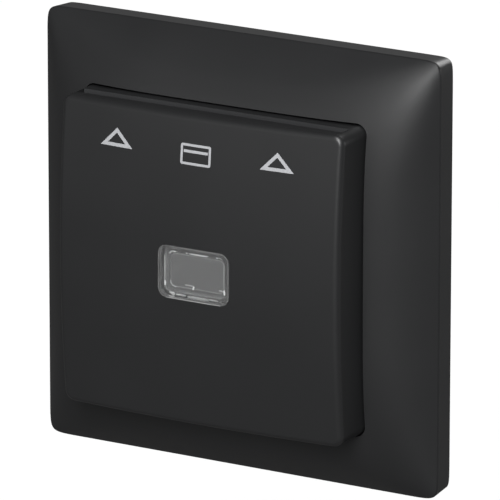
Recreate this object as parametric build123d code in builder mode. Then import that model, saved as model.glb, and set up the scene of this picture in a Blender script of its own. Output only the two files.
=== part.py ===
from build123d import *
import math
import os

os.makedirs("parts", exist_ok=True)

# A hotel key card switch for a flush wall box. A card pushed down into the slot on top of the
# domed cover tilts a sprung lever, the lever pushes a plunger through the front of the switch,
# and the plunger closes the contacts.
# Sizes are in millimetres. X runs to the right, Y into the wall and Z up, and the origin is the
# centre of the support ring's back face. A depth is counted forwards from that face, so it is
# a place at minus Y, and a negative depth is behind the wall's face.

overrun = 1.0
thin_gap = 0.1
moving_gap = 0.3

# Card and slot
card_width = 53.98
card_thick = 0.76
card_side_play = 0.62
card_face_play = 1.84
card_stop_drop = 25.4
slot_back = 14.5
slot_length = card_width + card_side_play
slot_front = slot_back + card_thick + card_face_play

# Card cover, the domed front half of the card holder
cover_wall = 1.6
cover_front_wall = 2.0
cover_height = 57.7
cover_corner = 2.0
cover_edge_fillet = 1.1
cover_crown = 22.4
cover_rise_across = 1.3
cover_rise_up = 1.8
cover_back = 4.6
cover_width = slot_length + 2 * cover_wall
cover_inside_height = cover_height - 2 * cover_wall
guide_rib = 1.2
guide_rib_length = 44.0
guide_rib_shares = (-0.82, -0.6, -0.4, 0.4, 0.6, 0.82)
stop_rib_width = 5.0
stop_rib_shares = (-0.75, 0, 0.75)
snap_width = 8.0
snap_height = 2.4
snap_bite = 0.7
snap_depth = 10.6

# Clear lens in the middle of the cover
lens_width = 14.8
lens_height = 9.9
lens_corner = 2.0
lens_drop = 0.2
lens_skin = 1.1
lens_wall = 1.1
lens_flange = 0.9
lens_flange_thick = 1.1
lens_hook_width = 1.9
lens_hook_thick = 0.9
lens_hook_lip = 0.6
lens_hook_share = 0.228
plate_rim = 0.7
plate_step = 0.65
plate_gap = 0.97

# Cover frame, the pillow-shaped surround
frame_side = 80.5
frame_corner = 1.9
frame_rim_depth = 5.2
frame_rim_growth = 0.45
frame_rim_fillet = 0.5
frame_rise = 7.39
frame_gap = 0.25
frame_wall = 1.9
frame_crest_share = 1.15
frame_roll = 1.8
frame_soft_share = 0.2455
pillow_shares = (0.1, 0.24, 0.42, 0.63, 0.85, 1, 1.12)
outline_shares = (0, 0.3, 0.55, 0.74, 0.86, 0.93, 0.975, 1)
collar_wall = 1.2
collar_share = 0.72
shoulder_thick = 1.2
shoulder_width = 2.2
frame_rib = 1.0
frame_rib_depth = 4.4
frame_rib_shares = (-0.8, -0.3, 0.3, 0.8)

# Support ring, the steel plate that is screwed to the wall box
ring_inset = 4.75
ring_thick = 1.2
ring_corner = 9.0
box_screw_spacing = 60.0
box_slot_width = 3.8
box_slot_length = 7.0
spare_hole = 3.2
spare_hole_spacing = 58.0
ring_hole_margin = 3.0
ring_hole_corner = 3.0
ring_tab_width = 8.0
ring_tab_length = 10.0
ring_tab_window = 4.4

# Switch base, the moulded body in the wall box
base_width = 40.0
base_height = 44.0
base_depth = 20.0
base_corner_cut = 7.0
base_wall = 1.5
base_rear_wall = 1.8
base_catch_thick = 1.0
base_edge_fillet = 0.8
partition_height = 12.0
cam_height = 1.7
cam_width = 7.0
cam_front = 3.0
cam_stand = 0.2

# Front lid of the base
lid_flange = 1.4
lid_front = 4.6
lid_wall = 1.3
well_floor = 1.4

# Card lever
lever_width = 8.0
lever_hub = 2.3
lever_pin = 0.8
lever_pin_play = 0.05
lever_pivot_depth = 9.4
lever_travel = 17.5
lever_nose_depth = 19.2
lever_nose_drop = 9.6
lever_ear = 1.6
ear_root_share = 1.3
lever_pad = 1.2
lever_tip = 1.3
lever_nose_root = 4.2
lever_back = 0.6
lever_skin = 1.3
lever_slot = 5.0
window_play = 0.5

# Plunger between the lever and the contact arm
plunger_stand = 8.0
plunger_drop = 5.0
plunger_radius = 2.2
plunger_head_radius = 3.2
plunger_tip_gap = 0.45
plunger_head = 1.0
plunger_wire = 0.5
plunger_curls = 5
plunger_coil_radius = 2.95

# Contacts and terminals
strip_thick = 1.0
strip_gap = 0.6
contact_radius = 1.8
contact_thick = 0.8
contact_gap = 0.5
arm_thick = 0.8
arm_width = 6.0
arm_pivot_height = 3.0
arm_pin = 0.6
wire_hole = 1.7
wire_pair_share = 0.5543
wire_under_bar = 3.0
terminal_inset = 3.8
terminal_corner_play = 0.35
terminal_front = 4.0
terminal_margin = 1.4
strip_foot = 4.4
bracket_height = 5.0
ear_thick = 1.0
ear_height = 3.0
clamp_thick = 0.4
clamp_width = 2.6
clamp_front = 5.5
clamp_bend = 1.2
clamp_end = 12.0
clamp_fall = 7.0
contact_wire = 0.35
contact_curls = 4
contact_coil_radius = 1.6
contact_coil_share = 0.62

# Release levers on the back
release_under_bar = 8.0
release_prong_width = 3.0
release_prong_thick = 2.6
release_bar = 1.4
release_travel = 1.2
release_stand = 1.5

# Pocket back, the rear half of the card holder
back_wall = 1.6
back_flange = 1.4
back_flange_depth = 5.0
leg_across = 10.0
leg_width = 6.0
leg_thick = 1.4
leg_hook = 0.8
leg_hook_length = 2.0
leg_inset = 2.2

# Lamp behind the lens
diffuser_width = 12.0
diffuser_height = 7.2
diffuser_flange = 1.2
diffuser_length = 3.0
lamp_radius = 2.5
lamp_rim = 0.4
lamp_rim_length = 1.0
lamp_depth = 10.4
lamp_foot_width = 9.0
lamp_foot_height = 7.0
lamp_foot_depth = 5.9
lamp_foot_flange = 1.2
lamp_pin = 0.8
lamp_pin_length = 7.0

# Claws that grip the wall box
claw_stand = 3.5
claw_seat_radius = 2.2
claw_shank = 1.45
claw_slot_width = 3.5
claw_slot_length = 4.6
claw_slot_shift = 0.6
claw_screw_end = 17.5
claw_pull = 5.0
claw_plate = 1.4
claw_plate_depth = 11.5
claw_height = 13.0
claw_reach = 8.4
claw_boss = 2.9
claw_boss_length = 3.0
claw_thread_play = 0.05
claw_notch = 4.0
claw_prong = 2.0
claw_head = 0.9
claw_drive = 0.7


def at(depth):
    """The plane that faces the viewer at a depth in front of the wall."""
    return Plane.XZ.offset(depth)


def arc_radius(chord, rise):
    return (chord * chord / 4 + rise * rise) / (2 * rise)


def dome(inset):
    """A thick slice whose front is crowned both ways, inset behind the cover's own front."""
    across = arc_radius(cover_width, cover_rise_across)
    up = arc_radius(cover_height, cover_rise_up) - inset
    half = cover_width / 2 + overrun
    edge = (across - inset) - math.sqrt((across - inset) ** 2 - half ** 2)
    span = 2 * math.degrees(math.asin((cover_height / 2 + overrun) / up))
    turn = math.radians(span / 2)
    centre = up + inset - cover_crown
    thick = cover_crown - cover_back + cover_rise_up + 2 * overrun
    start = Plane(origin=(0, centre, 0), x_dir=(1, 0, 0), z_dir=(0, -math.sin(turn), -math.cos(turn)))
    with BuildPart(mode=Mode.PRIVATE) as slice_of_dome:
        with BuildSketch(start):
            with BuildLine():
                ThreePointArc((-half, up - edge), (0, up), (half, up - edge))
                Polyline((half, up - edge), (half, up - thick), (-half, up - thick), (-half, up - edge))
            make_face()
        revolve(axis=Axis((0, centre, 0), (1, 0, 0)), revolution_arc=span)
    return slice_of_dome.part


def corner_share(half, radius):
    """How soft the square of this half side is whose corners reach as far as those of a radius."""
    return -math.log2(1 - (1 - math.sqrt(0.5)) * radius / half)


def soft_square(half, soft_share):
    """A square whose sides bend gently into its corners, the more so the larger the share."""
    first = []
    for share in outline_shares:
        reach = half / (1 + share ** (1 / soft_share)) ** soft_share
        first.append(Vector(reach, share * reach))
    second = [Vector(point.Y, point.X) for point in reversed(first[:-1])]
    places = [*outline_shares, *(2 - share for share in reversed(outline_shares[:-1]))]
    with BuildLine() as outline:
        for turn in (0, 90, 180, 270):
            points = [point.rotate(Axis.Z, turn) for point in first + second]
            ends = [Vector(0, 1).rotate(Axis.Z, turn), Vector(-1, 0).rotate(Axis.Z, turn)]
            add(Edge.make_spline(points, tangents=ends, parameters=places))
    make_face(outline.edges())


outer_dome = dome(0)
inner_dome = dome(cover_front_wall)
opening_width = cover_width + 2 * frame_gap
opening_height = cover_height + 2 * frame_gap
opening_corner = cover_corner + frame_gap
lens_z = -lens_drop
flange_across_share = (lens_width + 2 * lens_flange) / cover_width
flange_up_share = (lens_height + 2 * lens_flange) / cover_height
lens_sag = cover_rise_across * flange_across_share ** 2 + cover_rise_up * flange_up_share ** 2
lens_seat = cover_crown - cover_front_wall - lens_sag - thin_gap
lens_back = lens_seat - lens_flange_thick
half_wide = base_width / 2
half_high = base_height / 2
plunger_z = plunger_stand - half_high
lever_z = plunger_z + plunger_drop
lever_y = -lever_pivot_depth
swing = math.radians(lever_travel)
ring_side = frame_side - 2 * ring_inset
ring_hole_width = base_width - 2 * ring_hole_margin
ring_hole_height = base_height - 2 * ring_hole_margin
claw_across = half_wide + claw_stand
claw_outside = half_wide + claw_reach
cam_back = claw_plate_depth - cam_stand
cam_slope_length = claw_pull - moving_gap
terminal_height = half_high - terminal_inset
terminal_outer = half_wide - base_corner_cut + terminal_corner_play
wire_pair = wire_pair_share * terminal_outer
strip_across = terminal_outer - terminal_margin - wire_pair / 2
strip_width = wire_pair - release_prong_width - 2 * strip_gap
wire_height = terminal_height - wire_under_bar
release_height = terminal_height - release_under_bar
clamp_end_height = terminal_height - clamp_fall
contact_coil_height = contact_coil_share * (arm_pivot_height - plunger_z) - arm_pivot_height

# Card cover
with BuildPart() as cover_form:
    with BuildSketch(at(cover_back)):
        RectangleRounded(cover_width, cover_height, cover_corner)
    extrude(amount=cover_crown - cover_back)
    add(outer_dome, mode=Mode.INTERSECT)
    fillet(cover_form.faces().sort_by(Axis.Y)[0].edges(), cover_edge_fillet)
with BuildPart() as cover_hollow:
    with BuildSketch(at(cover_back - overrun)):
        Rectangle(slot_length, cover_inside_height)
    extrude(amount=cover_crown - cover_back + overrun)
    add(inner_dome, mode=Mode.INTERSECT)
with BuildPart() as card_cover:
    add(cover_form.part)
    add(cover_hollow.part, mode=Mode.SUBTRACT)
    # Ribs that guide the card's front, and ribs that stop its lower end
    with BuildSketch(at(slot_front)):
        for share in guide_rib_shares:
            with Locations((share * slot_length / 2, 0)):
                Rectangle(guide_rib, guide_rib_length)
    extrude(amount=cover_crown - slot_front)
    stop_bottom = -(cover_inside_height + cover_wall) / 2
    with BuildSketch(at(slot_back + thin_gap)):
        for share in stop_rib_shares:
            with Locations((share * slot_length / 2, -card_stop_drop)):
                Rectangle(stop_rib_width, -card_stop_drop - stop_bottom, align=(Align.CENTER, Align.MAX))
    extrude(amount=cover_crown - slot_back)
    add(cover_form.part, mode=Mode.INTERSECT)
    # Slot for the card through the top wall
    with BuildSketch(Plane.XY.offset(cover_inside_height / 2 - thin_gap)):
        with Locations((0, -(slot_back + slot_front) / 2)):
            Rectangle(slot_length, slot_front - slot_back)
    extrude(amount=cover_wall + overrun, mode=Mode.SUBTRACT)
    # Window for the lens, with four hooks behind it that hold the lens's flange
    with BuildSketch(at(slot_front)):
        with Locations((0, lens_z)):
            RectangleRounded(lens_width, lens_height, lens_corner)
    extrude(amount=cover_crown - slot_front + overrun, mode=Mode.SUBTRACT)
    hook_z = lens_height / 2 + lens_flange + thin_gap
    hook_back = lens_back - lens_hook_lip - thin_gap
    with BuildSketch(Plane.YZ.offset(-lens_hook_width / 2)) as hook_profile:
        with BuildLine():
            Polyline((-hook_back, hook_z - lens_hook_lip), (-hook_back, hook_z + lens_hook_thick),
                     (-lens_seat - overrun, hook_z + lens_hook_thick), (-lens_seat - overrun, hook_z),
                     (-lens_back + thin_gap, hook_z), (-lens_back + thin_gap, hook_z - lens_hook_lip),
                     close=True)
        make_face()
    for side in (-1, 1):
        for share in (-lens_hook_share, lens_hook_share):
            hook = extrude(hook_profile.sketch, amount=lens_hook_width, mode=Mode.PRIVATE)
            if side < 0:
                hook = mirror(hook, about=Plane.XY, mode=Mode.PRIVATE)
            add(Pos(share * lens_width, 0, lens_z) * hook)
    # Windows in the side walls that the pocket back snaps into
    for side in (-1, 1):
        for level in (-1, 1):
            with BuildSketch(Plane.YZ.offset(side * slot_length / 2)):
                with Locations((-snap_depth, level * cover_height / 4)):
                    Rectangle(snap_height, snap_width)
            extrude(amount=side * snap_bite, mode=Mode.SUBTRACT)
card_cover.part.label = "card_cover"
export_step(card_cover.part, "parts/card_cover.step")

# Lens, a clear cap that is flush in the cover's front and hollow behind
plate_width = lens_width - 2 * lens_wall - 2 * thin_gap
plate_height = lens_height - 2 * lens_wall - 2 * thin_gap
plate_corner = lens_corner - lens_wall / 2 - thin_gap
with BuildPart() as lens:
    with BuildSketch(at(lens_back)):
        with Locations((0, lens_z)):
            RectangleRounded(lens_width + 2 * lens_flange, lens_height + 2 * lens_flange, lens_corner)
    extrude(amount=lens_flange_thick)
    with BuildSketch(at(lens_back)):
        with Locations((0, lens_z)):
            RectangleRounded(lens_width - 2 * thin_gap, lens_height - 2 * thin_gap, lens_corner - thin_gap)
    extrude(amount=cover_crown - lens_back)
    add(outer_dome, mode=Mode.INTERSECT)
    with BuildSketch(at(lens_back)):
        with Locations((0, lens_z)):
            RectangleRounded(plate_width + 2 * thin_gap, plate_height + 2 * thin_gap, plate_corner + thin_gap)
    extrude(amount=cover_crown - lens_skin - lens_back, mode=Mode.SUBTRACT)
lens.part.label = "lens"
export_step(lens.part, "parts/lens.step")

# Milky plate that is pressed into the lens from behind, with a raised field
with BuildPart() as lens_plate:
    with BuildSketch(at(lens_back)):
        with Locations((0, lens_z)):
            RectangleRounded(plate_width, plate_height, plate_corner)
    extrude(amount=plate_rim)
    with BuildSketch(at(lens_back)):
        with Locations((0, lens_z)):
            RectangleRounded(plate_width - 2 * plate_step, plate_height - 2 * plate_step, plate_corner)
    extrude(amount=cover_crown - lens_skin - plate_gap - lens_back)
lens_plate.part.label = "lens_plate"
export_step(lens_plate.part, "parts/lens_plate.step")

# Cover frame
rim_half = frame_side / 2 + frame_rim_growth
band = rim_half - opening_width / 2


def lift(share):
    """How far the pillow has risen, as a share, at a share of the way in from the rim."""
    return 1 - (1 - share / frame_crest_share) ** frame_roll


rim_soft_share = corner_share(rim_half, frame_corner + frame_rim_growth)
pillow_sections = []
for share in pillow_shares:
    pillow_sections.append((
        frame_rim_depth + frame_rise * lift(share),
        rim_half - share * band,
        rim_soft_share + frame_soft_share * share,
    ))
# The rolled edge between the side walls, which lean out a little, and the pillow's first slope
lean = math.atan(frame_rim_growth / frame_rim_depth)
slope = math.atan(frame_rise * frame_roll / (frame_crest_share * band))
roll_reach = frame_rim_fillet / math.cos((slope + lean) / 2)
roll_depth = frame_rim_depth - roll_reach * math.sin((slope - lean) / 2)
roll_half = rim_half - roll_reach * math.cos((slope - lean) / 2)
roll_sections = []
for turn in (-lean, (slope - lean) / 2, slope):
    roll_sections.append((
        roll_depth + frame_rim_fillet * math.sin(turn),
        roll_half + frame_rim_fillet * math.cos(turn),
        rim_soft_share,
    ))


def frame_form(sections, inset=0):
    """A solid through soft squares at their depths, all drawn in by an inset."""
    with BuildPart(mode=Mode.PRIVATE) as form:
        for depth, half, soft_share in sections:
            with BuildSketch(at(depth - inset)):
                soft_square(half - inset, soft_share)
        loft()
    return form.part


collar_front = frame_rim_depth + frame_rise * collar_share
shoulder_front = cover_back - thin_gap
shoulder_back = shoulder_front - shoulder_thick
collar_back = ring_thick + thin_gap
collar_width = opening_width + 2 * collar_wall
collar_height = opening_height + 2 * collar_wall
with BuildPart() as cover_frame:
    with BuildSketch(Plane.XZ):
        soft_square(frame_side / 2, corner_share(frame_side / 2, frame_corner))
    with BuildSketch(at(roll_sections[0][0])):
        soft_square(*roll_sections[0][1:])
    loft(ruled=True)
    add(frame_form(roll_sections))
    add(frame_form([roll_sections[-1], *pillow_sections]))
    # The hollow behind, with the same form
    with BuildSketch(Plane.XZ):
        RectangleRounded(frame_side - 2 * frame_wall, frame_side - 2 * frame_wall, frame_corner / 2)
    extrude(amount=frame_rim_depth - frame_wall, mode=Mode.SUBTRACT)
    rim_section = (frame_rim_depth, rim_half, rim_soft_share)
    add(frame_form([rim_section, *pillow_sections], frame_wall), mode=Mode.SUBTRACT)
    # Collar round the opening, with a shoulder that the card holder rests on, and ribs behind
    with BuildSketch(at(collar_back)):
        RectangleRounded(collar_width, collar_height, opening_corner + collar_wall)
    extrude(amount=collar_front - collar_back)
    inside = frame_side / 2 - frame_wall / 2
    with BuildSketch(at(collar_back)):
        for share in frame_rib_shares:
            with Locations((share * opening_width / 2, 0)):
                Rectangle(frame_rib, 2 * inside)
            with Locations((0, share * opening_width / 2)):
                Rectangle(2 * inside, frame_rib)
    extrude(amount=frame_rib_depth - collar_back)
    with BuildSketch(at(shoulder_front)):
        RectangleRounded(opening_width, opening_height, opening_corner)
    extrude(amount=cover_crown, mode=Mode.SUBTRACT)
    with BuildSketch(at(-overrun)):
        Rectangle(opening_width - 2 * shoulder_width, opening_height - 2 * shoulder_width)
    extrude(amount=cover_crown, mode=Mode.SUBTRACT)
    with BuildSketch(at(-overrun)):
        RectangleRounded(opening_width, opening_height, opening_corner)
    extrude(amount=shoulder_back + overrun, mode=Mode.SUBTRACT)
    # Room for the heads of the claw screws, which counts where a wider base moves them outwards
    with BuildSketch(at(-overrun)):
        with Locations((-claw_across, 0), (claw_across, 0)):
            Circle(claw_seat_radius + moving_gap)
    extrude(amount=shoulder_front + 2 * overrun, mode=Mode.SUBTRACT)
cover_frame.part.label = "cover_frame"
export_step(cover_frame.part, "parts/cover_frame.step")

# Card lever: a hub on a pin, a limb down from it, and a nose that reaches into the pocket
nose_y = -lever_nose_depth
nose_z = lever_z - lever_nose_drop
limb_front = lever_y - lever_hub
limb_back = lever_y - lever_back
with BuildPart() as card_lever:
    with BuildSketch(Plane.YZ.offset(-lever_width / 2)):
        with Locations((lever_y, lever_z)):
            Circle(lever_hub)
        with Locations((lever_y, plunger_z)):
            Circle(lever_pad)
        with BuildLine():
            Polyline((limb_front, lever_z), (limb_front, nose_z + lever_nose_root),
                     (nose_y + lever_tip, nose_z + lever_tip), (nose_y + lever_tip, nose_z - lever_tip),
                     (limb_back, nose_z - lever_tip), (limb_back, lever_z), close=True)
        make_face()
        with Locations((nose_y + lever_tip, nose_z)):
            Circle(lever_tip)
        with Locations((lever_y, lever_z)):
            Circle(lever_pin + lever_pin_play, mode=Mode.SUBTRACT)
    extrude(amount=lever_width)
    # The nose is hollow from below
    with BuildSketch(Plane.YZ.offset(-lever_slot / 2)):
        with BuildLine():
            Polyline((limb_front, nose_z - lever_tip), (nose_y + 2 * lever_tip, nose_z - lever_tip),
                     (nose_y + 2 * lever_tip, nose_z + lever_tip - lever_skin),
                     (limb_front, nose_z + lever_nose_root - 2 * lever_skin), close=True)
        make_face()
    extrude(amount=lever_slot, mode=Mode.SUBTRACT)
card_lever.part.label = "card_lever"
export_step(card_lever.part, "parts/card_lever.step")

with BuildPart() as lever_pin_piece:
    with BuildSketch(Plane.YZ.offset(-lever_width / 2 - moving_gap - lever_ear)):
        with Locations((lever_y, lever_z)):
            Circle(lever_pin)
    extrude(amount=lever_width + 2 * (moving_gap + lever_ear))
lever_pin_piece.part.label = "lever_pin"
export_step(lever_pin_piece.part, "parts/lever_pin.step")

# Pocket back: a plate behind the card with a rim, ears for the lever's pin and four snap legs
plate_back = slot_back - back_wall
pocket_width = slot_length - 2 * thin_gap
pocket_height = cover_inside_height - 2 * thin_gap
sweep_low = nose_z - lever_tip - (lever_nose_depth - lever_pivot_depth) * math.sin(swing)
ear_root = -plate_back - back_wall / 2
window_width = lever_width + 2 * window_play
window_top = lever_z - lever_hub / 2
window_bottom = sweep_low - window_play
ear_x = lever_width / 2 + moving_gap
leg_z = cover_inside_height / 2 - leg_inset
with BuildPart() as pocket_back:
    with BuildSketch(at(back_flange_depth)):
        Rectangle(pocket_width, pocket_height)
    extrude(amount=slot_back - back_flange_depth)
    with BuildSketch(at(back_flange_depth)):
        Rectangle(pocket_width - 2 * back_flange, pocket_height - 2 * back_flange)
    extrude(amount=plate_back - back_flange_depth, mode=Mode.SUBTRACT)
    # Window for the lever's nose, and the window for the lamp's diffuser
    with BuildSketch(at(plate_back - overrun)):
        with Locations((0, window_top)):
            Rectangle(window_width, window_top - window_bottom, align=(Align.CENTER, Align.MAX))
        with Locations((0, lens_z)):
            Rectangle(diffuser_width + 2 * thin_gap, diffuser_height + 2 * thin_gap)
    extrude(amount=back_wall + 2 * overrun, mode=Mode.SUBTRACT)
    # Ears that hold the lever's pin
    for side in (-1, 1):
        with BuildSketch(Plane.YZ.offset(side * ear_x)):
            with Locations((lever_y, lever_z)):
                Circle(lever_hub)
            with BuildLine():
                Polyline((lever_y, lever_z + lever_hub), (ear_root, lever_z + ear_root_share * lever_hub),
                         (ear_root, lever_z - 2 * lever_hub), (lever_y, lever_z - lever_hub),
                         close=True)
            make_face()
            with Locations((lever_y, lever_z)):
                Circle(lever_pin, mode=Mode.SUBTRACT)
        extrude(amount=side * lever_ear)
    # Lugs on the rim that snap into the cover's side walls
    for side in (-1, 1):
        for level in (-1, 1):
            with BuildSketch(Plane.YZ.offset(side * (slot_length / 2 - back_flange / 2))):
                with Locations((-snap_depth, level * cover_height / 4)):
                    Rectangle(snap_height - 2 * thin_gap, snap_width - 2 * thin_gap)
            extrude(amount=side * (snap_bite + back_flange / 2 - thin_gap))
    # Legs that pass through the support ring and hook behind it
    with BuildSketch(Plane.YZ.offset(leg_across - leg_width / 2)) as leg_profile:
        with BuildLine():
            Polyline((-plate_back - back_wall / 2, leg_z), (-plate_back - back_wall / 2, leg_z - leg_thick),
                     (leg_hook_length, leg_z - leg_thick), (leg_hook_length, leg_z),
                     (moving_gap, leg_z + leg_hook), (moving_gap, leg_z), close=True)
        make_face()
    leg = extrude(leg_profile.sketch, amount=leg_width, mode=Mode.PRIVATE)
    add(leg)
    add(mirror(leg, about=Plane.YZ, mode=Mode.PRIVATE))
    add(mirror(leg, about=Plane.XY, mode=Mode.PRIVATE))
    add(mirror(mirror(leg, about=Plane.YZ, mode=Mode.PRIVATE), about=Plane.XY, mode=Mode.PRIVATE))
pocket_back.part.label = "pocket_back"
export_step(pocket_back.part, "parts/pocket_back.step")

# Diffuser in the pocket back's lamp window
with BuildPart() as diffuser:
    with BuildSketch(at(slot_back - thin_gap)):
        with Locations((0, lens_z)):
            Rectangle(diffuser_width, diffuser_height)
    extrude(amount=-(diffuser_length - thin_gap))
    with BuildSketch(at(plate_back)):
        with Locations((0, lens_z)):
            Rectangle(diffuser_width + 2 * diffuser_flange, diffuser_height + 2 * diffuser_flange)
    extrude(amount=-diffuser_flange)
    with BuildSketch(at(slot_back - diffuser_length)):
        with Locations((0, lens_z)):
            Rectangle(diffuser_width - 2 * diffuser_flange, diffuser_height - 2 * diffuser_flange)
    extrude(amount=diffuser_length - diffuser_flange, mode=Mode.SUBTRACT)
diffuser.part.label = "diffuser"
export_step(diffuser.part, "parts/diffuser.step")

# Support ring
leg_slot_z = leg_z - leg_thick / 2
leg_slot_height = leg_thick + 2 * (leg_hook + moving_gap)
with BuildPart() as support_ring:
    with BuildSketch(Plane.XZ):
        RectangleRounded(ring_side, ring_side, ring_corner)
        RectangleRounded(ring_hole_width, ring_hole_height, ring_hole_corner, mode=Mode.SUBTRACT)
        with Locations((-box_screw_spacing / 2, 0), (box_screw_spacing / 2, 0)):
            SlotOverall(box_slot_length, box_slot_width, mode=Mode.SUBTRACT)
        with GridLocations(spare_hole_spacing, spare_hole_spacing, 2, 2):
            Circle(spare_hole / 2, mode=Mode.SUBTRACT)
        with GridLocations(2 * leg_across, 2 * leg_slot_z, 2, 2):
            Rectangle(leg_width + 2 * moving_gap, leg_slot_height, mode=Mode.SUBTRACT)
        with Locations((-claw_across - claw_slot_shift / 2, 0), (claw_across + claw_slot_shift / 2, 0)):
            SlotOverall(claw_slot_length, claw_slot_width, mode=Mode.SUBTRACT)
    extrude(amount=ring_thick)
    # Tabs bent back over the switch base, each with a window for its catch
    tab_z = base_height / 2 + thin_gap
    for side in (-1, 1):
        with BuildSketch(Plane.XY.offset(side * tab_z)):
            with Locations((0, -ring_thick / 2)):
                Rectangle(ring_tab_width, ring_tab_length + ring_thick / 2, align=(Align.CENTER, Align.MIN))
            with Locations((0, ring_tab_length / 2)):
                Rectangle(ring_tab_window, ring_tab_window / 2, mode=Mode.SUBTRACT)
        extrude(amount=side * ring_thick)
support_ring.part.label = "support_ring"
export_step(support_ring.part, "parts/support_ring.step")

# Switch base
rear_inside = base_depth - base_rear_wall
with BuildPart() as switch_base:
    with BuildSketch(Plane.XZ) as base_outline:
        with BuildLine():
            Polyline((half_wide, half_high - base_corner_cut), (half_wide - base_corner_cut, half_high),
                     (-half_wide + base_corner_cut, half_high), (-half_wide, half_high - base_corner_cut),
                     (-half_wide, -half_high + base_corner_cut), (-half_wide + base_corner_cut, -half_high),
                     (half_wide - base_corner_cut, -half_high), (half_wide, -half_high + base_corner_cut),
                     close=True)
        make_face()
    extrude(amount=-base_depth)
    with BuildSketch(Plane.XZ):
        add(offset(base_outline.sketch, amount=-base_wall, mode=Mode.PRIVATE))
    extrude(amount=-rear_inside, mode=Mode.SUBTRACT)
    fillet(switch_base.edges().filter_by(Axis.Y), base_edge_fillet)
    # Catches for the ring's tabs
    for side in (-1, 1):
        with BuildSketch(Plane.XY.offset(side * (half_high - base_wall / 2))):
            with Locations((0, ring_tab_length / 2)):
                Rectangle(ring_tab_window - 2 * thin_gap, ring_tab_window / 2 - 2 * thin_gap)
        extrude(amount=side * (base_wall / 2 + base_catch_thick))
    # Cams on the sides that spread the claws
    for side in (-1, 1):
        with BuildSketch(Plane.XY.offset(-cam_width / 2)):
            with BuildLine():
                Polyline((side * (half_wide - base_wall / 2), cam_front), (side * half_wide, cam_front),
                         (side * (half_wide + cam_height), cam_front + cam_height),
                         (side * (half_wide + cam_height), cam_back - cam_slope_length),
                         (side * half_wide, cam_back), (side * (half_wide - base_wall / 2), cam_back),
                         close=True)
            make_face()
        extrude(amount=cam_width)
    # Wire entries and the slots for the release levers in the rear wall
    with BuildSketch(at(-base_depth - overrun)):
        for side in (-1, 1):
            for step in (-1, 1):
                x = side * strip_across + step * wire_pair / 2
                with Locations((x, wire_height)):
                    Circle(wire_hole)
                with Locations((x, release_height)):
                    Rectangle(release_prong_width + 2 * thin_gap, release_prong_thick + 2 * thin_gap)
    extrude(amount=base_rear_wall + 2 * overrun, mode=Mode.SUBTRACT)
    # Low walls that part the terminals and carry the strips
    with BuildSketch(at(-rear_inside - overrun / 2)):
        with Locations((0, wire_height)):
            Rectangle(base_wall, base_height - 2 * wire_height)
    extrude(amount=partition_height + overrun / 2)
switch_base.part.label = "switch_base"
export_step(switch_base.part, "parts/switch_base.step")

# Base lid, the front of the switch that fills the ring's hole
well_radius = plunger_coil_radius + plunger_wire / 2 + moving_gap
lid_width = ring_hole_width - 2 * thin_gap
lid_height = ring_hole_height - 2 * thin_gap
with BuildPart() as base_lid:
    with BuildSketch(at(-lid_flange)):
        lid_inside = offset(base_outline.sketch, amount=-base_wall - thin_gap, mode=Mode.PRIVATE)
        add(lid_inside.moved(Pos(0, lid_flange, 0)))
    extrude(amount=lid_flange)
    with BuildSketch(Plane.XZ):
        RectangleRounded(lid_width, lid_height, ring_hole_corner)
    extrude(amount=lid_front)
    with BuildSketch(at(-lid_flange)):
        RectangleRounded(lid_width - 2 * lid_wall, lid_height - 2 * lid_wall, ring_hole_corner - lid_wall)
    extrude(amount=lid_front - lid_wall + lid_flange, mode=Mode.SUBTRACT)
    # Well for the plunger and its spring
    with BuildSketch(at(-well_floor)):
        with Locations((0, plunger_z)):
            Circle(well_radius + lid_wall)
    extrude(amount=lid_front + well_floor)
    with BuildSketch(at(-well_floor + lid_wall)):
        with Locations((0, plunger_z)):
            Circle(well_radius)
    extrude(amount=lid_front + well_floor, mode=Mode.SUBTRACT)
    with BuildSketch(at(-well_floor - overrun)):
        with Locations((0, plunger_z)):
            Circle(plunger_radius + lever_pin_play)
    extrude(amount=lid_front, mode=Mode.SUBTRACT)
    # Socket for the lamp
    with BuildSketch(at(lid_front - lid_wall - overrun)):
        with Locations((0, lens_z)):
            Rectangle(lamp_foot_width + 2 * thin_gap, lamp_foot_height + 2 * thin_gap)
    extrude(amount=lid_wall + 2 * overrun, mode=Mode.SUBTRACT)
base_lid.part.label = "base_lid"
export_step(base_lid.part, "parts/base_lid.step")

# Plunger
plunger_travel = plunger_drop * swing
contact_front = rear_inside - strip_thick - contact_thick
arm_back = contact_front - contact_gap - plunger_travel - contact_thick
arm_front = arm_back - arm_thick
head_front = lever_pivot_depth - lever_pad - moving_gap
head_back = head_front - plunger_head
with BuildPart() as plunger:
    with BuildSketch(at(head_back)):
        with Locations((0, plunger_z)):
            Circle(plunger_head_radius)
    extrude(amount=plunger_head)
    fillet(plunger.faces().sort_by(Axis.Y)[0].edges(), plunger_head / 2)
    with BuildSketch(at(head_back)):
        with Locations((0, plunger_z)):
            Circle(plunger_radius)
    extrude(amount=-(head_back + arm_front - plunger_tip_gap))
    chamfer(plunger.faces().sort_by(Axis.Y)[-1].edges(), plunger_radius / 3)
plunger.part.label = "plunger"
export_step(plunger.part, "parts/plunger.step")


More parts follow.
